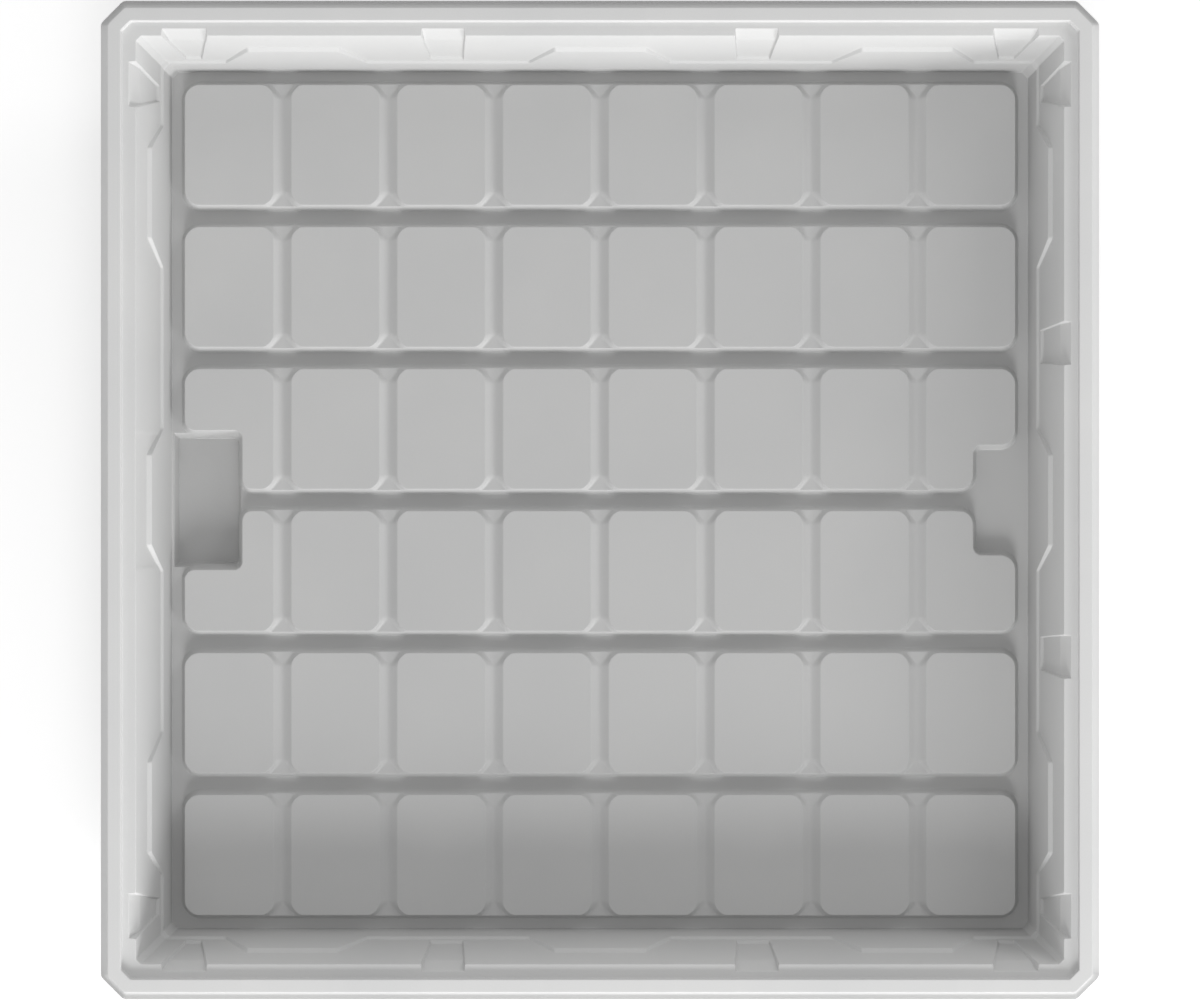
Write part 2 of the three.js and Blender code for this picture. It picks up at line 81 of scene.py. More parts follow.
# Slopes: a wall's or the sump's is run per rise, a pad's side is too, and a groove's is rise per run
UPPER_LEAN, LOWER_LEAN = 0.1826, 0.151
PAD_LEAN = math.tan(math.radians(16))
GROOVE_LEAN = math.tan(math.radians(35))
CORNER_LEAN = math.tan(math.radians(58))     # round the corners of a pad, at the mouth of a groove
SUMP_LEAN, SUMP_BACK_LEAN = 0.19, 0.11

# The belt line of the walls, and the pockets above it
BELT_LOW_Z, BELT_HIGH_Z = 71.0, 124.4
BELT_CENTRES = (-408.5, 0.0, 408.5)
BELT_LOW_HALF, BELT_HIGH_HALF = 95.4, 60.2

POCKET_BACK = 618.9
POCKET_BEND_BACK, POCKET_BEND_Z = 608.3, 142.0
POCKET_FOOT_BACK, POCKET_FOOT_Z = 596.6, 79.0
MID_POCKET = (206.1, 28.5, 22.0)       # distance along the wall, half width at the ledge and at the foot
CORNER_POCKET = (546.3, 29.7, 10.8)

# The field of pads, and the places where it is cut back round the sump and the well
COLUMNS, ROWS = 8, 6
COLUMN_PITCH, ROW_PITCH = 143.4, 192.4
GROOVE_WIDTH, CHANNEL_WIDTH = 24.0, 31.2
PAD_RADIUS = 19.0
EDGE_SWELL = 1.2                       # how much wider than their plan the soft edges stand
PAD_HALF_X = (COLUMN_PITCH - GROOVE_WIDTH) / 2
PAD_HALF_Y = (ROW_PITCH - CHANNEL_WIDTH) / 2
FIELD = (COLUMNS * COLUMN_PITCH - GROOVE_WIDTH) / 2

SUMP_EDGE_X, SUMP_BACK_X, SUMP_HALF_Y = -483.7, -579.3, 95.5
WELL_EDGE_X, WELL_HALF_Y = 504.7, 75.7
CUT_RADIUS, SUMP_PAD_RADIUS, WELL_PAD_RADIUS, SUMP_RADIUS = 13.0, 12.0, 18.0, 14.0


# ---- Floor: height field --------------------------------------------------------------------

def soft_min(a, b, width):
    """The lower of two heights, blended where they differ by less than width."""
    near = np.maximum(width - np.abs(a - b), 0) / width
    return np.minimum(a, b) - near * near * width / 4


def soft_max(a, b, width):
    return -soft_min(-a, -b, width)


def rounded_rect_distance(dx, dy, half_x, half_y, radius):
    """Signed distance from a rectangle with rounded corners, from offsets to its centre."""
    ax = np.abs(dx) - (half_x - radius)
    ay = np.abs(dy) - (half_y - radius)
    return np.hypot(np.maximum(ax, 0), np.maximum(ay, 0)) + np.minimum(np.maximum(ax, ay), 0) - radius


def rounded_outline(corners, steps=10):
    """A closed polyline through corners given as (x, y, radius), with each corner rounded."""
    points = []
    for i, (x, y, radius) in enumerate(corners):
        here = np.array((x, y))
        back = np.array(corners[i - 1][:2]) - here
        on = np.array(corners[(i + 1) % len(corners)][:2]) - here
        back, on = back / np.linalg.norm(back), on / np.linalg.norm(on)
        centre = here + radius * (back + on)
        for k in range(steps + 1):
            angle = k / steps * math.pi / 2
            points.append(centre - radius * (on * math.cos(angle) + back * math.sin(angle)))
    return np.array(points)


def outline_distance(x, y, outline):
    """Signed distance of many points from a closed polyline, negative inside."""
    best = np.full(x.shape, np.inf)
    inside = np.zeros(x.shape, bool)
    for (ax, ay), (bx, by) in zip(outline, np.roll(outline, -1, axis=0)):
        ex, ey = bx - ax, by - ay
        along = np.clip(((x - ax) * ex + (y - ay) * ey) / (ex * ex + ey * ey), 0, 1)
        best = np.minimum(best, np.hypot(x - ax - along * ex, y - ay - along * ey))
        crosses = (ay > y) != (by > y)
        if ey:
            inside ^= crosses & (x < ax + (y - ay) * ex / ey)
    return np.where(inside, -best, best)


# The row of pads beside the middle channel is cut back round the sump and the well.
MIDDLE_LOW, MIDDLE_HIGH = CHANNEL_WIDTH / 2, ROW_PITCH - CHANNEL_WIDTH / 2
CUT_ROW = rounded_outline([
    (SUMP_EDGE_X, MIDDLE_LOW, SUMP_PAD_RADIUS),
    (WELL_EDGE_X, MIDDLE_LOW, WELL_PAD_RADIUS),
    (WELL_EDGE_X, WELL_HALF_Y, CUT_RADIUS),
    (FIELD, WELL_HALF_Y, WELL_PAD_RADIUS),
    (FIELD, MIDDLE_HIGH, PAD_RADIUS),
    (-FIELD, MIDDLE_HIGH, PAD_RADIUS),
    (-FIELD, SUMP_HALF_Y, SUMP_PAD_RADIUS),
    (SUMP_EDGE_X, SUMP_HALF_Y, CUT_RADIUS),
])


def block_distance(x, y):
    """Signed distance from the edge of the nearest row of pads, at pad height."""
    row = np.clip(np.round(y / ROW_PITCH + (ROWS - 1) / 2), 0, ROWS - 1)
    centre = (row - (ROWS - 1) / 2) * ROW_PITCH
    distance = rounded_rect_distance(x, y - centre, FIELD, PAD_HALF_Y, PAD_RADIUS)
    cut = np.abs(y) < ROW_PITCH
    distance[cut] = outline_distance(x[cut], np.abs(y[cut]), CUT_ROW)
    return distance - EDGE_SWELL


def pad_height(x, y, sheet):
    """Height of the side of the nearest pad. The end pads run on past the end of their row."""
    column = np.clip(np.round(x / COLUMN_PITCH + (COLUMNS - 1) / 2), 0, COLUMNS - 1)
    row = np.clip(np.round(y / ROW_PITCH + (ROWS - 1) / 2), 0, ROWS - 1)
    dx = x - (column - (COLUMNS - 1) / 2) * COLUMN_PITCH
    dy = y - (row - (ROWS - 1) / 2) * ROW_PITCH
    end = ((column == 0) & (dx < 0)) | ((column == COLUMNS - 1) & (dx > 0))
    distance = rounded_rect_distance(np.where(end, 0, dx), dy, PAD_HALF_X, PAD_HALF_Y + EDGE_SWELL, PAD_RADIUS)
    share = np.clip((np.abs(dy) - PAD_HALF_Y + PAD_RADIUS) / PAD_RADIUS, 0, 1)
    lean = GROOVE_LEAN + (CORNER_LEAN - GROOVE_LEAN) * share * share * (3 - 2 * share)
    return PAD_Z - lean * distance - sheet * np.hypot(1, lean)


# How wide each soft edge is, as a difference in height: edge of a row of pads, edge of a groove,
# bottom of a groove, foot of a pad, edge of the sump, foot of the sump. The underside of the sheet
# has its own.
TOP_EDGES = (3.4, 0.7, 3.6, 6.0, 2.8, 4.0)
UNDER_EDGES = (2.0, 1.0, 3.0, 12.0, 6.0, 4.0)


def floor_height(x, y, sheet=0.0):
    """Height of the floor's upper surface, or with a sheet thickness, of its underside."""
    edge, groove_edge, groove_floor, foot, sump_edge, sump_foot = UNDER_EDGES if sheet else TOP_EDGES
    steep = sheet * math.hypot(1, PAD_LEAN)
    pad = soft_min(PAD_Z - sheet, pad_height(x, y, sheet), groove_edge)
    pad = soft_max(pad, GROOVE_Z - sheet, groove_floor)
    side = PAD_Z - (block_distance(x, y) + steep) / PAD_LEAN
    side -= np.maximum(FLOOR_Z - sheet - foot - side, 0)     # steeper below the floor, behind the sump's walls
    raised = soft_min(pad, side, edge)

    half_x = SUMP_EDGE_X - PAD_LEAN * (PAD_Z - FLOOR_Z) + 2 * FIELD
    half_y = SUMP_HALF_Y - PAD_LEAN * (PAD_Z - FLOOR_Z)
    round_side = rounded_rect_distance(x + 2 * FIELD, y, half_x, half_y, SUMP_RADIUS)
    hollow = FLOOR_Z + (round_side - sheet * math.hypot(1, SUMP_LEAN)) / SUMP_LEAN
    back = FLOOR_Z + (SUMP_BACK_X - sheet * math.hypot(1, SUMP_BACK_LEAN) - x) / SUMP_BACK_LEAN
    hollow = soft_max(soft_max(hollow, back, sump_foot), SUMP_Z - sheet, sump_foot)
    low = soft_min(FLOOR_Z - sheet, hollow, sump_edge)
    return soft_max(raised, low, foot)


def spread(centres, offsets):
    """Every centre with every offset, on both sides."""
    return [c + s * o for c in centres for s in (-1, 1) for o in offsets]


def grid_lines(low, high, wanted, closest):
    """Sorted grid lines between two limits, none nearer to the next than closest."""
    kept = [low]
    for value in sorted(v for v in wanted if low + closest < v < high - closest):
        if value - kept[-1] > closest:
            kept.append(value)
    return np.array(kept + [high])


def centred(count, pitch):
    return [(i - (count - 1) / 2) * pitch for i in range(count)]


# Grid lines of the floor, as distances out from the edge that they follow
EDGE_LINES = np.array([-1.6, -0.9, -0.45, 0, 0.45, 0.9, 1.6])
GROOVE_LINES = np.array([2.2, 3.2, 4.4, 5.6, 7.0, 8.3, 9.6, 12.0])
CHANNEL_LINES = np.array([2.6, 3.8, 5.0, 6.1, 7.4, 9.0, 12.0, CHANNEL_WIDTH / 2])
BACK_LINES = np.array([-0.3, -0.15, 0, 0.15, 0.3, 0.6, 1.2, 1.9, 2.4, 2.8, 3.2, 3.8, 4.6, 6, 8])
CORNER_PITCH, CUT_PITCH, CUT_REACH = 1.5, 1.7, (-12, 14)
PAD_LINES_X, PAD_LINES_Y = [0, 20], [0, 25, 50]      # and a few across the flat of each pad
UNDER_COARSE = 2.2           # how much coarser the grid of the underside is
UNDER_INSET = 0.75           # how far inside the top's edges those of the underside lie, in sheets
LEAST_PITCH = 0.4
BACK_PITCH = (0.12, 0.3)     # least pitch at the back of the sump, in the top and in the underside
BACK_REACH, BACK_END = 9, 9.5


def floor_mesh(low_x, high_x, half_y, sheet):
    """Vertices and triangles of the floor as a grid that is fine where the surface bends."""
    fine = UNDER_COARSE if sheet else 1.0
    shift = sheet * UNDER_INSET
    corner = np.arange(-PAD_RADIUS - 1, 3, CORNER_PITCH * fine)
    edge = EDGE_LINES * fine
    pad_x = np.concatenate((PAD_LINES_X, PAD_HALF_X - shift + np.concatenate((corner, edge, GROOVE_LINES))))
    pad_y = np.concatenate((PAD_LINES_Y, PAD_HALF_Y - shift + np.concatenate((corner, edge, CHANNEL_LINES))))
    ends = FIELD - shift + np.concatenate((corner, edge, CHANNEL_LINES[:-1]))
    cut = np.arange(*CUT_REACH, CUT_PITCH * fine)
    x_lines = spread(centred(COLUMNS, COLUMN_PITCH), pad_x) + spread([0], ends)
    x_lines += list(SUMP_BACK_X - shift + BACK_LINES)
    x_lines += list(SUMP_EDGE_X + cut) + list(WELL_EDGE_X + cut)
    y_lines = spread(centred(ROWS, ROW_PITCH), pad_y) + spread([0], ends)
    y_lines += spread([0], np.concatenate((SUMP_HALF_Y + cut, WELL_HALF_Y + cut)))
    back = [v for v in x_lines if v < SUMP_BACK_X + BACK_REACH]
    xs = grid_lines(low_x, high_x, back, BACK_PITCH[1] if sheet else BACK_PITCH[0])[:-1]
    xs = np.concatenate((xs, grid_lines(SUMP_BACK_X + BACK_END, high_x, x_lines, LEAST_PITCH * fine)))
    ys = grid_lines(-half_y, half_y, y_lines, LEAST_PITCH * fine)
    x, y = np.meshgrid(xs, ys, indexing="ij")
    z = floor_height(x.ravel(), y.ravel(), sheet)
    points = np.column_stack((x.ravel(), y.ravel(), z))
    i, j = np.meshgrid(np.arange(len(xs) - 1), np.arange(len(ys) - 1), indexing="ij")
    a = (i * len(ys) + j).ravel()
    b, c, d = a + len(ys), a + len(ys) + 1, a + 1
    flip = np.abs(z[a] - z[c]) > np.abs(z[b] - z[d])
    first = np.where(flip[:, None], np.column_stack((a, b, d)), np.column_stack((a, b, c)))
    second = np.where(flip[:, None], np.column_stack((b, c, d)), np.column_stack((a, c, d)))
    return points, np.concatenate((first, second))


def mesh_from(name, points, faces):
    mesh = bpy.data.meshes.new(name)
    mesh.from_pydata([tuple(p) for p in points.tolist()], [], [tuple(f) for f in faces.tolist()])
    return mesh


def thinned(points, faces, wanted):
    """The same surface with about the wanted number of triangles, thinned where it is flat."""
    mesh = mesh_from("thinning", points, faces)
    piece = bpy.data.objects.new("thinning", mesh)
    bpy.context.scene.collection.objects.link(piece)
    modifier = piece.modifiers.new("mesh_thinning_and_depth_shade", "DECIMATE")
    modifier.ratio = min(1.0, wanted / len(faces))
    modifier.use_collapse_triangulate = True
    result = piece.evaluated_get(bpy.context.evaluated_depsgraph_get()).to_mesh()
    co = np.zeros(len(result.vertices) * 3)
    result.vertices.foreach_get("co", co)
    corners = np.zeros(len(result.loops), int)
    result.loops.foreach_get("vertex_index", corners)
    piece.evaluated_get(bpy.context.evaluated_depsgraph_get()).to_mesh_clear()
    bpy.data.objects.remove(piece)
    bpy.data.meshes.remove(mesh)
    return co.reshape(-1, 3), corners.reshape(-1, 3)


# ---- Border: one cross-section carried round the tray ---------------------------------------

POCKET_STEPS = ((1.4, 0.0), (0.4, 0.08), (-0.3, 0.92), (-1.3, 1.0))  # distance outside, share of depth
BELT_STEPS = (-2.2, -0.7, 0.7, 2.2)
PANEL_HALF, PANEL_DEPTH = 87.5, 0.8
PANEL_STEPS = (-1.5, 1.5)
PLAIN_COLUMNS = (130, 160, 255, 285, 511)      # columns of the border where nothing bends
BELT_COLUMN = 25                               # and on each side of the middle of a belt's crest
TOP_START, START_FLAT = 581.0, 0.2     # where the border starts, and the least flat before its first bend
UNDER_START = (578.0, 578.0, 585.2, 578.0)     # right, back, left, front: further out beside the sump


def side_columns():
    """Columns along one side, in order: position, pocket index or -1, side of it, step, depth."""
    pockets = [(s * at, top, foot) for at, top, foot in (MID_POCKET, CORNER_POCKET) for s in (-1, 1)]
    columns = []
    for index, (at, top, _) in enumerate(pockets):
        columns.append((at, index, 0, 0.0, 1.0))
        for s in (-1, 1):
            for step, depth in POCKET_STEPS:
                columns.append((at + s * (top + step), index, s, step, depth))
    for centre in BELT_CENTRES:
        for half in (BELT_LOW_HALF, BELT_HIGH_HALF):
            for s in (-1, 1):
                columns += [(centre + s * half + step, -1, 0, 0.0, 0.0) for step in BELT_STEPS]
        columns += [(centre + s * BELT_COLUMN, -1, 0, 0.0, 0.0) for s in (-1, 1)]
    for s in (-1, 1):
        columns += [(s * PANEL_HALF + step, -1, 0, 0.0, 0.0) for step in PANEL_STEPS]
        columns += [(s * v, -1, 0, 0.0, 0.0) for v in PLAIN_COLUMNS]
    columns.sort()
    return pockets, columns


POCKETS, SIDE_COLUMNS = side_columns()


def upper_wall(z):
    return WALL_TOP - (LEDGE_Z - z) * UPPER_LEAN


def lower_wall(z):
    return WALL_FOOT + (z - FLOOR_Z) * LOWER_LEAN


BELT_SOFT, BELT_SAMPLES = 1.8, 7     # half width of the belt line's soft bends, and samples averaged in it
BELT_TO_POCKET = (4, 8)              # least heights above the belt line where a pocket starts, and is full


def belt_height(along):
    """Height of the belt line at a distance along the wall, softened where it bends."""
    total = 0
    shifts = np.linspace(-BELT_SOFT, BELT_SOFT, BELT_SAMPLES)
    for shift in shifts:
        away = np.min([np.abs(along + shift - c) for c in BELT_CENTRES], axis=0)
        share = np.clip((BELT_LOW_HALF - away) / (BELT_LOW_HALF - BELT_HIGH_HALF), 0, 1)
        total = total + BELT_LOW_Z + share * (BELT_HIGH_Z - BELT_LOW_Z)
    return total / len(shifts)


def section(along, depth, panel):
    """Corner points of the upper cross-section in each column, as (out, up, cut) triples."""
    one = np.ones_like(along)
    belt = belt_height(along)
    step = (upper_wall(belt) - lower_wall(belt)) / (1 - LOWER_LEAN)
    foot_start_z = POCKET_FOOT_Z - (POCKET_FOOT_BACK - upper_wall(POCKET_FOOT_Z)) / (1 - UPPER_LEAN)
    z1 = np.maximum(foot_start_z, belt + BELT_TO_POCKET[0])
    z2 = np.maximum(POCKET_FOOT_Z, belt + BELT_TO_POCKET[1])
    z3 = POCKET_BEND_Z * one
    back2 = np.where(depth > 0, POCKET_FOOT_BACK, 0)
    rows = [
        (TOP_START * one, FLOOR_Z * one, (WALL_FOOT_CUT - CUT_GROWTH * (WALL_FOOT - TOP_START)) * one),
        (WALL_FOOT * one, FLOOR_Z * one, WALL_FOOT_CUT * one),
        (upper_wall(belt) - step, belt - step, WALL_FOOT_CUT * one),
        (upper_wall(belt) + panel, belt, WALL_TOP_CUT * one),
        (upper_wall(z1) + panel, z1, WALL_TOP_CUT * one),
        (upper_wall(z2) + panel + depth * (back2 - upper_wall(z2)), z2, WALL_TOP_CUT * one),
        (upper_wall(z3) + panel + depth * (POCKET_BEND_BACK - upper_wall(z3)), z3, WALL_TOP_CUT * one),
        (WALL_TOP + panel + depth * (POCKET_BACK - WALL_TOP), LEDGE_Z * one, WALL_TOP_CUT * one),
        (RISER * one, LEDGE_Z * one, RISER_CUT * one),
        (RISER * one, RIM_Z * one, RISER_CUT * one),
        (RIM_EDGE * one, RIM_Z * one, RIM_EDGE_CUT * one),
        (SKIRT_FOOT * one, SKIRT_FOOT_Z * one, SKIRT_FOOT_CUT * one),
    ]
    return np.array([np.array(row) for row in rows]).transpose(0, 2, 1)


# Length of the soft edge at each corner of the section, and the number of straight steps in it
SOFT = (0, 1.4, 1.0, 0.8, 1.0, 1.0, 2.0, 0.9, 1.2, 1.2, 1.3, 0.5)
STEPS = (0, 3, 2, 2, 2, 2, 3, 2, 3, 3, 3, 2)
UNDER_STEPS = (0, 2, 2, 2, 2, 2, 2, 2, 3, 2, 2, 2)
LEAST_SOFT = 0.5


def offset_section(top, start):
    """The corner points of the underside from start, and how much longer each soft edge is there."""
    run = np.diff(top[:, :, :2], axis=0)
    run = run / np.linalg.norm(run, axis=2, keepdims=True)
    normal = np.stack((run[:, :, 1], -run[:, :, 0]), axis=2)
    first, last = normal[:-1], normal[1:]
    dot = np.sum(first * last, axis=2, keepdims=True)
    turn = run[:-1, :, 0] * run[1:, :, 1] - run[:-1, :, 1] * run[1:, :, 0]
    under = top.copy()
    under[1:-1, :, :2] += SHEET * (first + last) / (1 + dot)
    under[0, :, 0], under[0, :, 1] = start, FLOOR_Z - SHEET
    lean = (SKIRT_FOOT - RIM_EDGE) / (RIM_Z - SKIRT_FOOT_Z)
    under[-1, :, 0] -= SHEET * math.hypot(1, lean)
    under[:, :, 2] += CUT_GROWTH * (under[:, :, 0] - top[:, :, 0])
    longer = SHEET * turn / (1 + dot[:, :, 0])
    return under, longer


def rounded_section(corners, soft, steps):
    """Points along a section whose corners are rounded, as rows of columns."""
    rows = [corners[0]]
    for k in range(1, len(corners) - 1):
        back = corners[k - 1] - corners[k]
        on = corners[k + 1] - corners[k]
        length = soft[k][:, None]
        before = corners[k] + back * length / np.linalg.norm(back[:, :2], axis=1, keepdims=True)
        after = corners[k] + on * length / np.linalg.norm(on[:, :2], axis=1, keepdims=True)
        for q in np.linspace(0, 1, steps[k] + 1):
            rows.append((1 - q) ** 2 * before + 2 * q * (1 - q) * corners[k] + q * q * after)
    rows.append(corners[-1])
    return np.array(rows)


def side_sections(side):
    """Rows of (out, along, up, cut) for one side: first the upper surface, then the underside."""
    at = np.array([c[0] for c in SIDE_COLUMNS])
    index = np.array([c[1] for c in SIDE_COLUMNS])
    sign = np.array([c[2] for c in SIDE_COLUMNS])
    step = np.array([c[3] for c in SIDE_COLUMNS])
    depth = np.array([c[4] for c in SIDE_COLUMNS])
    left = side == 2
    if left:
        depth = np.where((index == 0) | (index == 1), 0, depth)
    panel = np.where(np.abs(at) < PANEL_HALF, PANEL_DEPTH, 0.0) if left else np.zeros_like(at)
    top = section(np.where(index >= 0, BELT_CENTRES[1] + MID_POCKET[0], at), depth, panel)
    under, longer = offset_section(top, UNDER_START[side])
    soft = [np.full(len(at), s) for s in SOFT]
    under_soft = [soft[0]] + [np.maximum(s + l, LEAST_SOFT) for s, l in zip(soft[1:-1], longer)]
    under_soft[1] = np.minimum(under_soft[1], under[1, :, 0] - UNDER_START[side] - START_FLAT)
    closed = np.concatenate((top, under[::-1]))
    all_soft = soft + [soft[-1]] + under_soft[::-1]
    rows = rounded_section(closed, all_soft, STEPS + UNDER_STEPS[::-1])
    under_from = 1 + sum(n + 1 for n in STEPS[1:])

    out, up, cut = rows[:, :, 0], rows[:, :, 1], rows[:, :, 2]
    grow = np.where(np.arange(len(rows)) >= under_from, SHEET, 0.0)[:, None]
    sizes = np.array(POCKETS + [(0, 0, 0)])[index]
    share = np.clip((up - POCKET_FOOT_Z) / (LEDGE_Z - POCKET_FOOT_Z), 0, 1)
    half = sizes[:, 2] + share * (sizes[:, 1] - sizes[:, 2]) + grow + step
    along = np.where(index >= 0, sizes[:, 0] + sign * half, at)
    return out, along, up, cut


CORNER_SHARE = 0.12
CORNER_STEPS = 3


def corner_columns(out, up, next_out, next_up, cut):
    """Columns round a cut corner from one side's section to the next's, with its vertices softened."""
    soft = CORNER_SHARE * cut
    start, end = next_out - cut, out - cut
    first = [(out, start - soft), (out, start), (out - soft, start + soft)]
    last = [(end + soft, next_out - soft), (end, next_out), (end - soft, next_out)]
    columns = []
    for ((ax, ay), (bx, by), (cx, cy)), height in ((first, up), (last, next_up)):
        for q in np.linspace(0, 1, CORNER_STEPS + 1):
            u, v, w = (1 - q) ** 2, 2 * q * (1 - q), q * q
            columns.append(np.column_stack((u * ax + v * bx + w * cx, u * ay + v * by + w * cy, height)))
    return columns


def border_mesh():
    """Vertices as rows of columns round the whole tray."""
    columns = []
    sections = [side_sections(side) for side in range(4)]
    for side in range(4):
        cos, sin = ((1, 0), (0, 1), (-1, 0), (0, -1))[side]
        out, along, up, cut = sections[side]
        next_out, _, next_up, next_cut = sections[(side + 1) % 4]
        local = [np.column_stack((out[:, k], along[:, k], up[:, k])) for k in range(out.shape[1])]
        corner_cut = np.minimum(cut[:, -1], next_cut[:, 0])
        local += corner_columns(out[:, -1], up[:, -1], next_out[:, 0], next_up[:, 0], corner_cut)
        for p in local:
            x, y = p[:, 0] * cos - p[:, 1] * sin, p[:, 0] * sin + p[:, 1] * cos
            columns.append(np.column_stack((x, y, p[:, 2])))
    return np.array(columns).transpose(1, 0, 2)


# ---- Joining --------------------------------------------------------------------------------

def boundary_loop(faces):
    """The vertices on the open edge of a surface, in order."""
    edges = np.concatenate((faces[:, (0, 1)], faces[:, (1, 2)], faces[:, (2, 0)]))
    known = set(map(tuple, edges.tolist()))
    following = {a: b for a, b in known if (b, a) not in known}
    start = next(iter(following))
    loop = [start]
    while following[loop[-1]] != start:
        loop.append(following[loop[-1]])
    assert len(loop) == len(following), "the floor has more than one open edge"
    return loop


def turn_share(points):
    """Where each point of a rectangular loop lies on the way round, from 0 to 4."""
    middle = (points.max(axis=0) + points.min(axis=0)) / 2
    half = (points.max(axis=0) - points.min(axis=0)) / 2
    x, y = ((points - middle)[:, :2] / half[:2]).T
    right = (np.abs(x) >= np.abs(y)) & (x > 0)
    back = (np.abs(y) > np.abs(x)) & (y > 0)
    left = (np.abs(x) >= np.abs(y)) & (x < 0)
    share = np.where(left, 2 + (1 - y) / 2, 3 + (x + 1) / 2)
    share = np.where(back, 1 + (1 - x) / 2, share)
    share = np.where(right, (y + 1) / 2, share)
    return share % 4


def strip(inner, inner_share, outer, outer_share):
    """Triangles between two loops of vertex numbers that both run anticlockwise."""
    def from_start(loop, share):
        start = int(np.argmin(share))
        order = np.roll(np.arange(len(loop)), -start)
        shares = np.maximum.accumulate(share[order])
        return [loop[k] for k in order] + [loop[start]], np.append(shares, shares[0] + 4)
    a, sa = from_start(inner, inner_share)
    b, sb = from_start(outer, outer_share)
    triangles = []
    i = j = 0
    while i < len(a) - 1 or j < len(b) - 1:
        if j == len(b) - 1 or (i < len(a) - 1 and sa[i + 1] <= sb[j + 1]):
            triangles.append((a[i], b[j], a[i + 1]))
            i += 1
        else:
            triangles.append((a[i], b[j], b[j + 1]))
            j += 1
    return triangles


FLOOR_LEFT, FLOOR_EDGE = -579.9, 572.0
UNDER_LEFT, UNDER_EDGE = -584.4, 569.0
FLOOR_TRIANGLES, UNDER_TRIANGLES = 104000, 24000


def build_sheet():
    top, top_faces = thinned(*floor_mesh(FLOOR_LEFT, FLOOR_EDGE, FLOOR_EDGE, 0.0), FLOOR_TRIANGLES)
    under, under_faces = thinned(*floor_mesh(UNDER_LEFT, UNDER_EDGE, UNDER_EDGE, SHEET), UNDER_TRIANGLES)
    border = border_mesh()
    rows, columns = border.shape[:2]
    points = np.concatenate((border.reshape(-1, 3), top, under))
    top_from, under_from = rows * columns, rows * columns + len(top)

    r, c = np.meshgrid(np.arange(rows - 1), np.arange(columns), indexing="ij")
    a = (r * columns + c).ravel()
    b = (r * columns + (c + 1) % columns).ravel()
    quads = np.column_stack((a, a + columns, b + columns, b))

    faces = [tuple(q) for q in quads.tolist()]
    faces += [tuple(t) for t in (top_faces + top_from).tolist()]
    faces += [tuple(t[::-1]) for t in (under_faces + under_from).tolist()]
    for floor_faces, floor_from, ring, flip in ((top_faces, top_from, 0, False),
                                                (under_faces, under_from, rows - 1, True)):
        inner = [v + floor_from for v in boundary_loop(floor_faces)]
        outer = list(range(ring * columns, (ring + 1) * columns))
        triangles = strip(inner, turn_share(points[inner]), outer, turn_share(points[outer]))
        faces += [t[::-1] if flip else t for t in triangles]
    mesh = bpy.data.meshes.new("tray_sheet")
    mesh.from_pydata([tuple(p) for p in (points * MM).tolist()], [], faces)
    mesh.validate()
    set_normals(mesh, top, top_from, under, under_from)
    return mesh


def floor_normals(points, sheet):
    """Upward normals of the height field at points, from its slope."""
    reach = 0.05
    x, y = points[:, 0], points[:, 1]
    slope_x = (floor_height(x + reach, y, sheet) - floor_height(x - reach, y, sheet)) / (2 * reach)
    slope_y = (floor_height(x, y + reach, sheet) - floor_height(x, y - reach, sheet)) / (2 * reach)
    normals = np.column_stack((-slope_x, -slope_y, np.ones(len(points))))
    return normals / np.linalg.norm(normals, axis=1, keepdims=True)


def set_normals(mesh, top, top_from, under, under_from):
    """Smooth normals: the height field's own on the floor, face-weighted ones on the border."""
    co = np.zeros(len(mesh.vertices) * 3)
    mesh.vertices.foreach_get("co", co)
    co = co.reshape(-1, 3)
    mesh.calc_loop_triangles()
    triangles = np.zeros(len(mesh.loop_triangles) * 3, int)
    mesh.loop_triangles.foreach_get("vertices", triangles)
    triangles = triangles.reshape(-1, 3)
    crosses = np.cross(co[triangles[:, 1]] - co[triangles[:, 0]], co[triangles[:, 2]] - co[triangles[:, 0]])
    normals = np.zeros_like(co)
    for k in range(3):
        np.add.at(normals, triangles[:, k], crosses)
    normals /= np.maximum(np.linalg.norm(normals, axis=1, keepdims=True), 1e-12)
    normals[top_from:top_from + len(top)] = floor_normals(top, 0.0)
    normals[under_from:under_from + len(under)] = -floor_normals(under, SHEET)
    mesh.polygons.foreach_set("use_smooth", np.ones(len(mesh.polygons), bool))
    mesh.normals_split_custom_set_from_vertices(normals.tolist())


# ---- Material -------------------------------------------------------------------------------

# Colour ramps as pairs of position and colour: faint clouds, fine specks, and painted shade, a greyer tone
# towards the floor that stands in for the shade deep in the tray
CLOUD_STOPS = ((0.3, (0.76, 0.762, 0.76)), (0.7, (0.795, 0.795, 0.79)))
SPECK_STOPS = ((0.3, (0.965, 0.965, 0.965)), (0.7, (1.0, 1.0, 1.0)))
DEPTH_SHADE_STOPS = ((0.0, (0.72, 0.72, 0.72)), (1.0, (1.0, 1.0, 1.0)))
# How many noise cells there are in a metre
CLOUD_SCALE, SPECK_SCALE, SMEAR_SCALE, GRAIN_SCALE, WAVE_SCALE = 5.0, 900.0, 28.0, 1400.0, 9.0
ROUGHNESS = (0.42, 0.56)
GRAIN_BUMP, WAVE_BUMP = (0.25, 0.0002), (0.2, 0.002)     # strength and height in metres
SPECULAR = 0.45


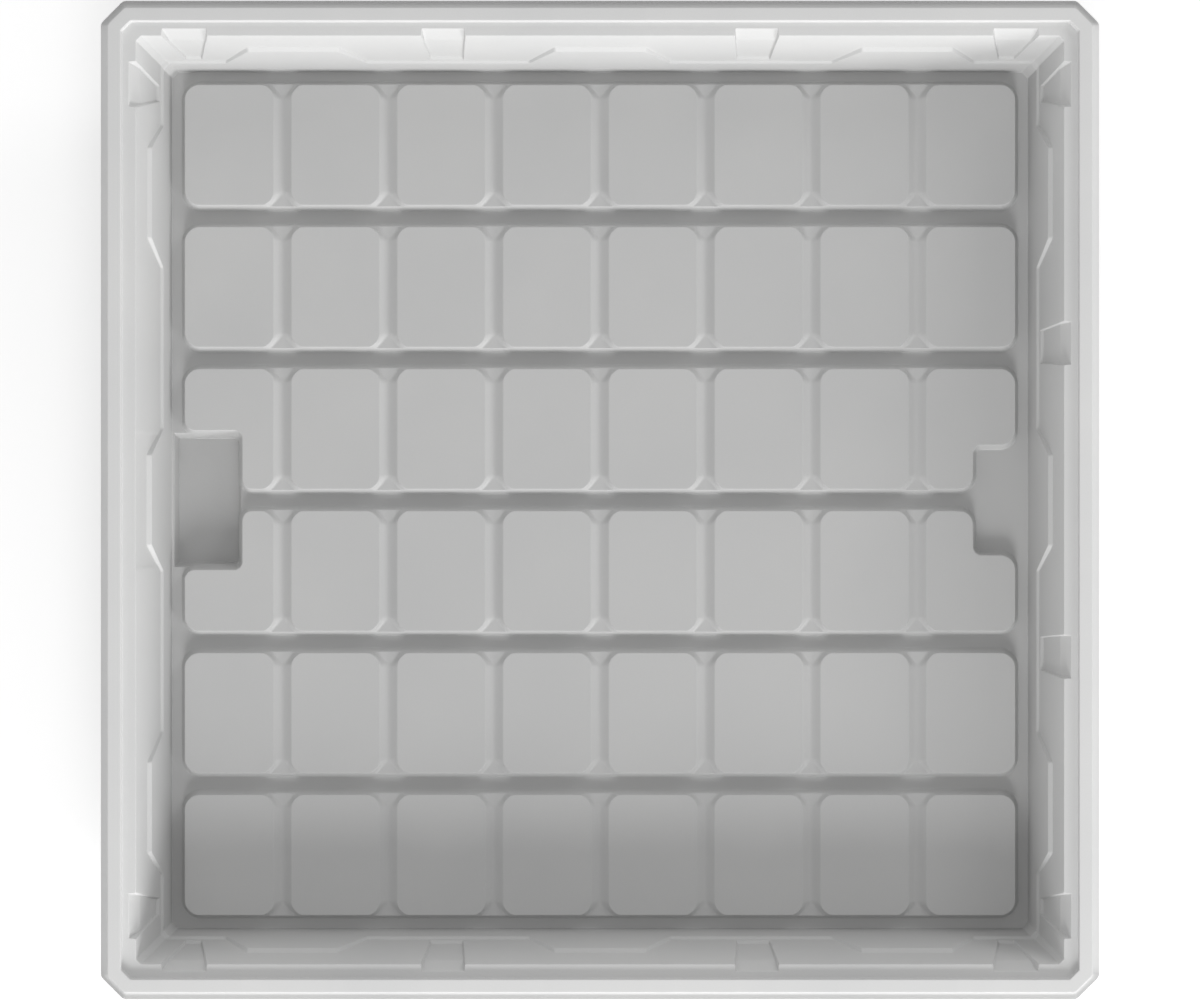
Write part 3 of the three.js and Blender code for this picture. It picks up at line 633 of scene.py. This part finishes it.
def moulded_plastic():
    """Pale grey sheet plastic: satin, with a fine pebbled grain and faint cloudiness."""
    material = bpy.data.materials.new("moulded_sheet")
    material.use_nodes = True
    nodes, links = material.node_tree.nodes, material.node_tree.links
    shader = nodes["Principled BSDF"]
    place = nodes.new("ShaderNodeTexCoord")

    def noise(scale, detail, roughness=0.5):
        node = nodes.new("ShaderNodeTexNoise")
        node.inputs["Scale"].default_value = scale
        node.inputs["Detail"].default_value = detail
        node.inputs["Roughness"].default_value = roughness
        links.new(place.outputs["Object"], node.inputs["Vector"])
        return node.outputs["Fac"]

    def ramp(value, stops):
        node = nodes.new("ShaderNodeValToRGB")
        for element, (position, colour) in zip(node.color_ramp.elements, stops):
            element.position = position
            element.color = (*colour, 1)
        links.new(value, node.inputs["Fac"])
        return node.outputs["Color"]

    cloud = ramp(noise(CLOUD_SCALE, 4.0), CLOUD_STOPS)
    speck = ramp(noise(SPECK_SCALE, 3.0), SPECK_STOPS)
    height = nodes.new("ShaderNodeSeparateXYZ")
    links.new(place.outputs["Object"], height.inputs["Vector"])
    height_share = nodes.new("ShaderNodeMapRange")
    height_share.inputs["From Min"].default_value = FLOOR_Z * MM
    height_share.inputs["From Max"].default_value = RIM_Z * MM
    links.new(height.outputs["Z"], height_share.inputs["Value"])
    # Painted shade: the base colour darkens from the rim down to the floor, standing in for the shade deep in
    # the tray
    mesh_thinning_and_depth_shade = ramp(height_share.outputs["Result"], DEPTH_SHADE_STOPS)

    def times(a, b):
        node = nodes.new("ShaderNodeMix")
        node.data_type = "RGBA"
        node.blend_type = "MULTIPLY"
        node.inputs["Factor"].default_value = 1.0
        links.new(a, node.inputs["A"])
        links.new(b, node.inputs["B"])
        return node.outputs["Result"]

    links.new(times(times(cloud, speck), mesh_thinning_and_depth_shade), shader.inputs["Base Color"])

    rough = nodes.new("ShaderNodeMapRange")
    rough.inputs["To Min"].default_value, rough.inputs["To Max"].default_value = ROUGHNESS
    links.new(noise(SMEAR_SCALE, 6.0, 0.6), rough.inputs["Value"])
    links.new(rough.outputs["Result"], shader.inputs["Roughness"])

    grain = nodes.new("ShaderNodeBump")
    grain.inputs["Strength"].default_value, grain.inputs["Distance"].default_value = GRAIN_BUMP
    links.new(noise(GRAIN_SCALE, 2.0), grain.inputs["Height"])
    waves = nodes.new("ShaderNodeBump")
    waves.inputs["Strength"].default_value, waves.inputs["Distance"].default_value = WAVE_BUMP
    links.new(noise(WAVE_SCALE, 2.0), waves.inputs["Height"])
    links.new(waves.outputs["Normal"], grain.inputs["Normal"])
    links.new(grain.outputs["Normal"], shader.inputs["Normal"])
    shader.inputs["Specular IOR Level"].default_value = SPECULAR
    return material


# ---- Scene ----------------------------------------------------------------------------------

tray = bpy.data.objects.new("tray_sheet", build_sheet())
bpy.context.scene.collection.objects.link(tray)
tray.data.materials.append(moulded_plastic())
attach(tray, "root")
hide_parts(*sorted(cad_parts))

FLOOR_SIZE = 60.0
FLOOR_DROP = 0.0005   # just under the tray, so that the two don't share a plane
FLOOR_TONE, FLOOR_ROUGHNESS = (0.9, 0.9, 0.9, 1), 0.9
FLOOR_GLOW = 0.36     # keeps the floor near white round the tray, with only a faint shadow
floor_data = bpy.data.meshes.new("stage_floor")
side = FLOOR_SIZE / 2
floor_corners = [(-side, -side, 0), (side, -side, 0), (side, side, 0), (-side, side, 0)]
floor_data.from_pydata(floor_corners, [], [(0, 1, 2, 3)])
floor = bpy.data.objects.new("stage_floor", floor_data)
floor.location.z = cad_box[0][2] - FLOOR_DROP
bpy.context.scene.collection.objects.link(floor)
floor.visible_diffuse = False      # so that the bright floor doesn't light the skirt from below
floor_material = bpy.data.materials.new("stage_floor")
floor_material.use_nodes = True
floor_shader = floor_material.node_tree.nodes["Principled BSDF"]
floor_shader.inputs["Base Color"].default_value = FLOOR_TONE
floor_shader.inputs["Roughness"].default_value = FLOOR_ROUGHNESS
floor_shader.inputs["Emission Color"].default_value = (1, 1, 1, 1)
floor_shader.inputs["Emission Strength"].default_value = FLOOR_GLOW
floor_data.materials.append(floor_material)

# The camera looks straight down at the middle of the tray.
CAMERA_HEIGHT = 3.8 + LEDGE_Z * MM
CAMERA_LENS, CAMERA_SENSOR, CAMERA_REACH = 86.8, 36.0, 100.0
camera_data = bpy.data.cameras.new("camera")
camera_data.sensor_width = CAMERA_SENSOR
camera_data.lens = CAMERA_LENS
camera_data.clip_end = CAMERA_REACH
camera = bpy.data.objects.new("camera", camera_data)
camera.location = (0, 0, CAMERA_HEIGHT)
bpy.context.scene.collection.objects.link(camera)
bpy.context.scene.camera = camera


# Soft studio lights on a circle round the tray: bearing from +X, height above the horizon, power.
LIGHT_DISTANCE, LIGHT_SIZE = 7.0, 2.6
LIGHTS = {
    "key_front": (270, 12, 90),
    "key_front_high": (270, 30, 190),
    "key_front_right": (315, 15, 180),
    "fill_back_right": (45, 30, 60),
    "fill_back_left": (135, 20, 15),
}
DOME_STRENGTH = 0.48

for light_name, (bearing, elevation, power) in LIGHTS.items():
    light_data = bpy.data.lights.new(light_name, "AREA")
    light_data.shape = "DISK"
    light_data.size = LIGHT_SIZE
    light_data.energy = power
    light = bpy.data.objects.new(light_name, light_data)
    across = LIGHT_DISTANCE * math.cos(math.radians(elevation))
    light.location = (across * math.cos(math.radians(bearing)), across * math.sin(math.radians(bearing)),
                      LIGHT_DISTANCE * math.sin(math.radians(elevation)))
    light.rotation_euler = light.location.to_track_quat("Z", "Y").to_euler()
    bpy.context.scene.collection.objects.link(light)

# A strip of net along the front and one along the back, bent round the cut corners, take some of the
# low light off the skirt. The camera doesn't see them.
NET_LOW_Z, NET_HIGH_Z, NET_GAP = 150.0, 181.0, 8.0
NET_PASSES = (0.5, 0.5, 0.5, 1)
net_half = SKIRT_FOOT + NET_GAP
net_flat = net_half - SKIRT_FOOT_CUT - NET_GAP * CUT_GROWTH
net_points, net_faces = [], []
for facing in (-1, 1):
    for x, y in ((-net_half, net_flat), (-net_flat, net_half), (net_flat, net_half), (net_half, net_flat)):
        net_points += [(x * MM, facing * y * MM, z * MM) for z in (NET_LOW_Z, NET_HIGH_Z)]
    first = len(net_points) - 8
    net_faces += [(i, i + 2, i + 3, i + 1) for i in range(first, first + 6, 2)]
net_data = bpy.data.meshes.new("light_net")
net_data.from_pydata(net_points, [], net_faces)
net = bpy.data.objects.new("light_net", net_data)
bpy.context.scene.collection.objects.link(net)
net.visible_camera = False
net_material = bpy.data.materials.new("light_net")
net_material.use_nodes = True
net_nodes = net_material.node_tree.nodes
net_cloth = net_nodes.new("ShaderNodeBsdfTransparent")
net_cloth.inputs["Color"].default_value = NET_PASSES
net_material.node_tree.links.new(net_cloth.outputs["BSDF"], net_nodes["Material Output"].inputs["Surface"])
net_data.materials.append(net_material)

world = bpy.data.worlds.new("studio")
world.use_nodes = True
world.node_tree.nodes["Background"].inputs["Color"].default_value = (1, 1, 1, 1)
world.node_tree.nodes["Background"].inputs["Strength"].default_value = DOME_STRENGTH
bpy.context.scene.world = world
bpy.context.scene.view_settings.view_transform = "Standard"
